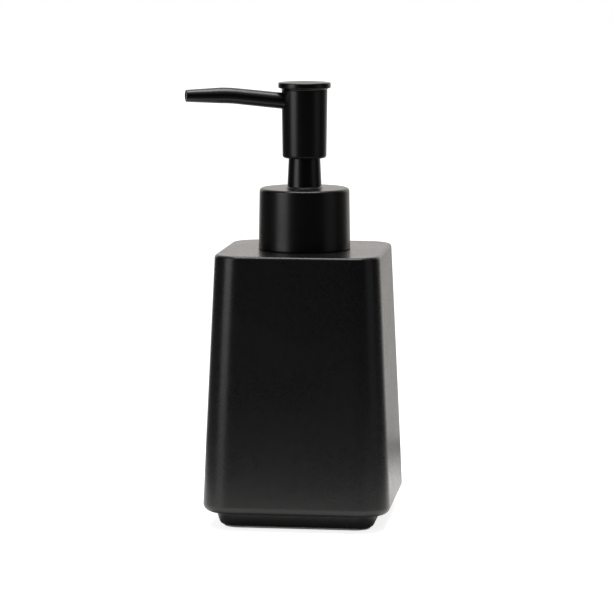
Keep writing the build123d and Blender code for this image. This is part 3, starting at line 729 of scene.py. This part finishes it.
spout_rows = [(spout_r(d, 0), 0, d) for d in spout_run[:-1]]
spout_rows += [(SPOUT_R_TIP - SPOUT_TIP_EDGE + c, 0, spout_end - SPOUT_TIP_EDGE + s)
               for c, s in arc(SPOUT_TIP_EDGE, 0, 90, 8)]
spout_rows += [(spout_r(d, SPOUT_WALL), 0, d) for d in reversed(spout_run)]
spout_rows.append(spout_rows[0])
spout = outline_object("spout_tube", spout_rows, head_finish)
path = curve_object("spout_line", spout_points)
run_tree(spout, turned_along_path(), {
    "Row Count": len(spout.data.vertices), "Around": SPOUT_SIDES, "Path": path,
    "Finish": head_finish})
bpy.data.objects.remove(path)
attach(spout, "head")
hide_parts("spout")
bored_barrel(barrel, spout_points[0], spout_points[RUN_STEPS])


# ======================================================================================
# Inner mouldings. Natural polypropylene, translucent white: the threaded neck bonded into
# the mouth, the closure's liner, and the pump's own parts, which carry no colour.
# ======================================================================================
MOULDINGS = ("neck_insert", "collar_liner", "pump_housing", "chaplet", "ball_cage", "stem",
             "stem_plug", "piston", "head_core")


def polypropylene():
    """Uncoloured polypropylene: milky, with cloudy flow marks and a soft shine."""
    made, b = finish_bench("natural_polypropylene")
    flow = noise(b, 130.0, 3.0, 0.5, (1, 1, 0.25))
    skin = noise(b, 1800.0, 2.0, 0.5, seed=4.4)
    colour = blend_colour(b, (flow * 0.8 + skin * 0.2).clipped(),
                          (0.66, 0.67, 0.66, 1), (0.80, 0.80, 0.79, 1))
    surface(b, {"IOR": 1.49, "Subsurface Weight": 0.15, "Subsurface Radius": (0.002, 0.002, 0.002),
                "Subsurface Scale": 1.0},
            {"Base Color": colour, "Roughness": 0.30 + flow * 0.15 + skin * 0.05,
             "Normal": relief(b, skin, 0.000015)})
    return made


def paint(finish, *names):
    """Gives a finish to CAD nodes that are shown as they are."""
    for name in names:
        for place in nodes[name].material_slots:
            place.material = finish


paint(polypropylene(), *MOULDINGS)


# ======================================================================================
# Gasket. A flat ring of foamed white polyethylene, die-cut, squeezed between the pump's
# flange and the neck.
# ======================================================================================
def foamed_white():
    """Foamed polyethylene: small closed cells under a slightly crushed skin, their pits darkened as
    painted shade.
    """
    made, b = finish_bench("foamed_gasket")
    space = b.node("ShaderNodeTexCoord", {}, {}, "Object")
    cells = b.node("ShaderNodeTexVoronoi", {"feature": "SMOOTH_F1"},
                   {"Vector": space, "Scale": 2600.0}, "Distance")
    crush = noise(b, 240.0, 2.0)
    # Painted shade in part: the cells' pits are darker; the crush marks are the foam's own uneven tone.
    colour = blend_colour(b, (cells * 0.5 + crush * 0.5).clipped(),
                          (0.60, 0.60, 0.58, 1), (0.82, 0.82, 0.80, 1))
    surface(b, {"IOR": 1.45}, {"Base Color": colour, "Roughness": 0.70 + crush * 0.2,
                               "Normal": relief(b, cells, 0.00008)})
    return made


paint(foamed_white(), "gasket")


# ======================================================================================
# Dip tube. Extruded clear polyethylene, pushed into the pump's socket, cut on the slant
# below; faint lines of the die run along it.
# ======================================================================================
def clear_extrusion():
    """Clear extruded plastic: die lines along the tube, a little haze."""
    made, b = finish_bench("clear_tube")
    lines = noise(b, 900.0, 2.0, 0.5, (1, 1, 0.01))
    haze = noise(b, 150.0, 3.0, 0.5, seed=2.0)
    colour = blend_colour(b, (lines * 0.6 + haze * 0.4).clipped(),
                          (0.80, 0.83, 0.84, 1), (0.95, 0.97, 0.97, 1))
    surface(b, {"IOR": 1.49, "Transmission Weight": 0.8},
            {"Base Color": colour, "Roughness": 0.10 + haze * 0.15, "Normal": relief(b, lines, 0.00002)})
    return made


paint(clear_extrusion(), "dip_tube")


# ======================================================================================
# Return spring. Hard-drawn stainless wire, coiled with its end turns closed up, standing on
# the ball cage inside the pump and pushing the stem up.
# ======================================================================================
SPRING_R, WIRE_R = 4.5, 0.5
SPRING_LOW, SPRING_HIGH = heights("return_spring")
SPRING_TURNS, CLOSED_TURNS = 7.0, 1.0
COIL_STEPS, WIRE_SIDES = 48, 16
CLOSED_PITCH = 2.05          # rise of a closed turn, in radii of the wire


def coil_tree():
    """A helix whose first and last turns lie closed, swept with a round wire."""
    tree, b, given = new_tree("closed_end_coil", [
        ("Rows", "Geometry"), ("Coil Radius", "Float"), ("Wire Radius", "Float"), ("Low", "Float"),
        ("High", "Float"), ("Turns", "Float"), ("Closed", "Float"), ("Steps", "Int"),
        ("Finish", "Material")])
    _, coil_r, wire_r, low, high, turns, closed, steps, finish = given
    count = steps * turns
    line = b.node("GeometryNodeMeshLine", {}, {"Count": count + 1})
    at = b.node("GeometryNodeInputIndex") / steps
    open_share = ((at - closed) / (turns - closed * 2)).clipped()
    ends = at.math("MINIMUM", at, closed) + at.math("MAXIMUM", at - turns + closed, 0.0)
    rise = wire_r * CLOSED_PITCH
    free = high - low - wire_r * 2 - rise * closed * 2
    z = low + wire_r + ends * rise + open_share * free
    turn = at * (2 * math.pi)
    spot = b.node("ShaderNodeCombineXYZ", {}, {"X": coil_r * turn.math("COSINE", turn),
                                               "Y": coil_r * turn.math("SINE", turn), "Z": z})
    bent = b.node("GeometryNodeSetPosition", {}, {"Geometry": line, "Position": spot})
    path = b.node("GeometryNodeMeshToCurve", {}, {"Mesh": bent})
    ring = b.node("GeometryNodeCurvePrimitiveCircle", {}, {"Resolution": WIRE_SIDES, "Radius": wire_r})
    wire = b.node("GeometryNodeCurveToMesh", {},
                  {"Curve": path, "Profile Curve": ring, "Fill Caps": True})
    close_tree(b, wire, finish)
    return tree


def drawn_steel():
    """Drawn stainless wire: fine draw marks and slight changes of sheen."""
    made, b = finish_bench("drawn_steel")
    marks = noise(b, 1400.0, 3.0, 0.6, (1, 1, 4))
    patch = noise(b, 200.0, 2.0, 0.5, seed=6.0)
    colour = blend_colour(b, (marks * 0.5 + patch * 0.5).clipped(),
                          (0.42, 0.42, 0.43, 1), (0.62, 0.62, 0.62, 1))
    surface(b, {"Metallic": 1.0}, {"Base Color": colour, "Roughness": 0.22 + marks * 0.15 + patch * 0.08,
                                   "Normal": relief(b, marks, 0.000008)})
    return made


spring_finish = drawn_steel()
spring = outline_object("coil_spring", [(0, 0, 0), (0, 0, 1)], spring_finish)
run_tree(spring, coil_tree(), {
    "Coil Radius": SPRING_R * MM, "Wire Radius": WIRE_R * MM, "Low": SPRING_LOW * MM,
    "High": SPRING_HIGH * MM, "Turns": SPRING_TURNS, "Closed": CLOSED_TURNS, "Steps": COIL_STEPS,
    "Finish": spring_finish})
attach(spring, "pump")
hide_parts("return_spring")
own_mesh(spring)


# ======================================================================================
# Inlet ball. A ground and polished stainless bearing ball, loose under its cage, that
# closes the pump's inlet.
# ======================================================================================
def polished_steel():
    """Polished steel with hair-fine handling marks."""
    made, b = finish_bench("polished_ball")
    marks = noise(b, 2400.0, 4.0, 0.7, (1, 6, 1))
    colour = blend_colour(b, marks, (0.56, 0.56, 0.57, 1), (0.68, 0.68, 0.68, 1))
    surface(b, {"Metallic": 1.0}, {"Base Color": colour, "Roughness": 0.06 + marks * 0.08,
                                   "Normal": relief(b, marks, 0.000003)})
    return made


paint(polished_steel(), "inlet_ball")
